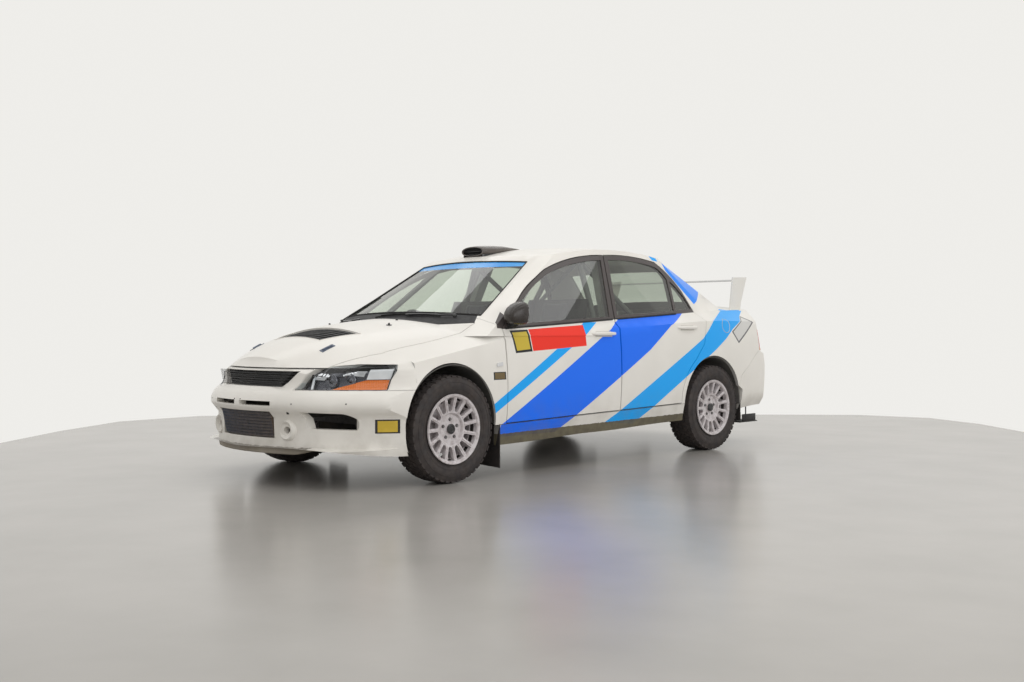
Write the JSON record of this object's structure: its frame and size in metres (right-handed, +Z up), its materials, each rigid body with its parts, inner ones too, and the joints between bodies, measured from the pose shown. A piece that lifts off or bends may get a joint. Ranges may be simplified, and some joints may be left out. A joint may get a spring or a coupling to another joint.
{
  "type": "rally car",
  "caption": "Four-door rally saloon with opening doors, bonnet and boot lid, steered front wheels, roll cage, bucket seats, roof scoop and rear wing.",
  "frame": {"origin": "on the ground, midway between the bumpers, on the centreline", "axes": "+Z up, -Y towards the nose, +X towards the car's left side"},
  "size_m": [1.7965, 4.488, 1.5008],
  "materials": {
    "body_paint": "warm white gloss paint",
    "skirt_paint": "white paint under road dirt",
    "cabin_paint": "grey satin paint",
    "black_plastic": "grained black plastic",
    "carbon": "black composite",
    "screen_glass": "clear, slightly green",
    "lamp": "clear lens over grey housing",
    "tail_lamp": "red lens",
    "seat_shell": "dark seat fabric on a shell",
    "rubber": "black flexible sheet",
    "cast": "cast metal",
    "chassis": "black chassis paint",
    "cooler": "dusty aluminium core",
    "guard": "scuffed plate",
    "steel": "heat-stained steel",
    "wheel_paint": "white painted alloy",
    "tyre": "black tyre"
  },
  "bodies": {
    "root": {"body_side_left": "body_paint", "body_side_right": "body_paint", "front_bumper": "body_paint", "front_fenders": "body_paint", "rear_bumper": "body_paint", "roof_panel": "body_paint", "side_skirts": "skirt_paint", "floor_pan": "cabin_paint", "bulkhead": "cabin_paint", "door_posts": "cabin_paint", "roll_cage": "cabin_paint", "cowl_panel": "black_plastic", "rear_shelf": "black_plastic", "dashboard": "black_plastic", "grille": "black_plastic", "front_liners": "black_plastic", "rear_liners": "black_plastic", "roof_scoop": "carbon", "windscreen": "screen_glass", "rear_window": "screen_glass", "headlamps": "lamp", "tail_lamps": "tail_lamp", "seats": "seat_shell", "mud_flaps": "rubber", "engine_block": "cast", "front_subframe": "chassis", "rear_suspension": "chassis", "intercooler": "cooler", "sump_guard": "guard", "exhaust": "steel"},
    "bonnet": {"bonnet": "body_paint", "bonnet_vent": "black_plastic"},
    "boot_lid": {"boot_lid": "body_paint", "rear_wing": "carbon"},
    "door_front_left": {"door_front_left": "body_paint", "glass_front_left": "screen_glass", "mirror_left": "black_plastic"},
    "door_front_right": {"door_front_right": "body_paint", "glass_front_right": "screen_glass"},
    "door_rear_left": {"door_rear_left": "body_paint", "glass_rear_left": "screen_glass"},
    "door_rear_right": {"door_rear_right": "body_paint", "glass_rear_right": "screen_glass"},
    "knuckle_left": {"knuckle_left": "cast"},
    "knuckle_right": {"knuckle_right": "cast"},
    "wheel_front_left": {"wheel_front_left": "wheel_paint", "tyre_front_left": "tyre"},
    "wheel_front_right": {"wheel_front_right": "wheel_paint", "tyre_front_right": "tyre"},
    "wheel_rear_left": {"wheel_rear_left": "wheel_paint", "tyre_rear_left": "tyre"},
    "wheel_rear_right": {"wheel_rear_right": "wheel_paint", "tyre_rear_right": "tyre"}
  },
  "joints": [
    {"name": "bonnet_hinge", "type": "hinge", "parent": "root", "child": "bonnet", "pos_m": [0, -0.97, 0.95], "axis": [-1, 0, 0], "range_deg": [0, 50]},
    {"name": "boot_hinge", "type": "hinge", "parent": "root", "child": "boot_lid", "pos_m": [0, 1.721, 1.105], "axis": [1, 0, 0], "range_deg": [0, 60]},
    {"name": "door_front_left_hinge", "type": "hinge", "parent": "root", "child": "door_front_left", "pos_m": [0.862, -0.884, 0.6], "axis": [0, 0, -1], "range_deg": [0, 65]},
    {"name": "door_rear_left_hinge", "type": "hinge", "parent": "root", "child": "door_rear_left", "pos_m": [0.862, 0.208, 0.6], "axis": [0, 0, -1], "range_deg": [0, 65]},
    {"name": "door_front_right_hinge", "type": "hinge", "parent": "root", "child": "door_front_right", "pos_m": [-0.862, -0.884, 0.6], "axis": [0, 0, 1], "range_deg": [0, 65]},
    {"name": "door_rear_right_hinge", "type": "hinge", "parent": "root", "child": "door_rear_right", "pos_m": [-0.862, 0.208, 0.6], "axis": [0, 0, 1], "range_deg": [0, 65]},
    {"name": "steering_left", "type": "hinge", "parent": "root", "child": "knuckle_left", "pos_m": [0.7, -1.315, 0.318], "axis": [0, 0, 1], "range_deg": [-30, 30]},
    {"name": "steering_right", "type": "hinge", "parent": "root", "child": "knuckle_right", "pos_m": [-0.7, -1.315, 0.318], "axis": [0, 0, 1], "range_deg": [-30, 30]},
    {"name": "wheel_front_left_spin", "type": "hinge", "parent": "knuckle_left", "child": "wheel_front_left", "pos_m": [0.762, -1.315, 0.318], "axis": [1, 0, 0], "continuous": true},
    {"name": "wheel_front_right_spin", "type": "hinge", "parent": "knuckle_right", "child": "wheel_front_right", "pos_m": [-0.762, -1.315, 0.318], "axis": [1, 0, 0], "continuous": true},
    {"name": "wheel_rear_left_spin", "type": "hinge", "parent": "root", "child": "wheel_rear_left", "pos_m": [0.762, 1.31, 0.318], "axis": [1, 0, 0], "continuous": true},
    {"name": "wheel_rear_right_spin", "type": "hinge", "parent": "root", "child": "wheel_rear_right", "pos_m": [-0.762, 1.31, 0.318], "axis": [1, 0, 0], "continuous": true}
  ],
  "couplings": [
    {"joint": "steering_right", "follows": "steering_left", "ratio": 1}
  ]
}
